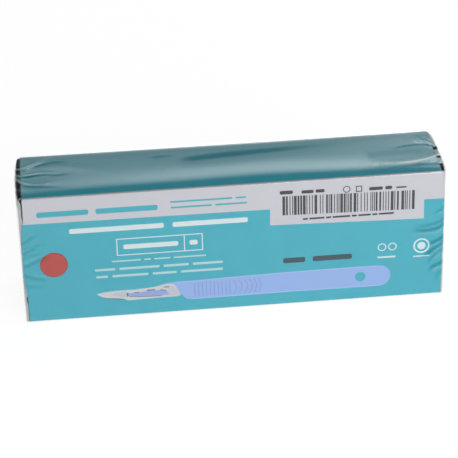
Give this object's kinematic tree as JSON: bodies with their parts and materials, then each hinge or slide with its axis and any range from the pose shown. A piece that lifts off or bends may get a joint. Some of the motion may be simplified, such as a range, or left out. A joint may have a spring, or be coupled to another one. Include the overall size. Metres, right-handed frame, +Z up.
{
  "type": "film-wrapped scalpel carton",
  "caption": "Sealed card carton of disposable scalpels in a clear shrink film gathered at both ends, with a red indicator disc on its printed front.",
  "frame": {"origin": "middle of the film's flat base, on the surface that the pack stands on", "axes": "+X along the length, to the right of someone who faces the printed front; the printed front faces -Y; +Z up"},
  "size_m": [0.2066, 0.0468, 0.0682],
  "materials": {
    "printed_card": "coated carton board, printed and varnished",
    "clear_film": "clear glossy polyolefin shrink film",
    "red_label": "matt printed paper label"
  },
  "bodies": {
    "root": {"carton": "printed_card", "film_wrap": "clear_film", "indicator_dot": "red_label"}
  },
  "joints": []
}
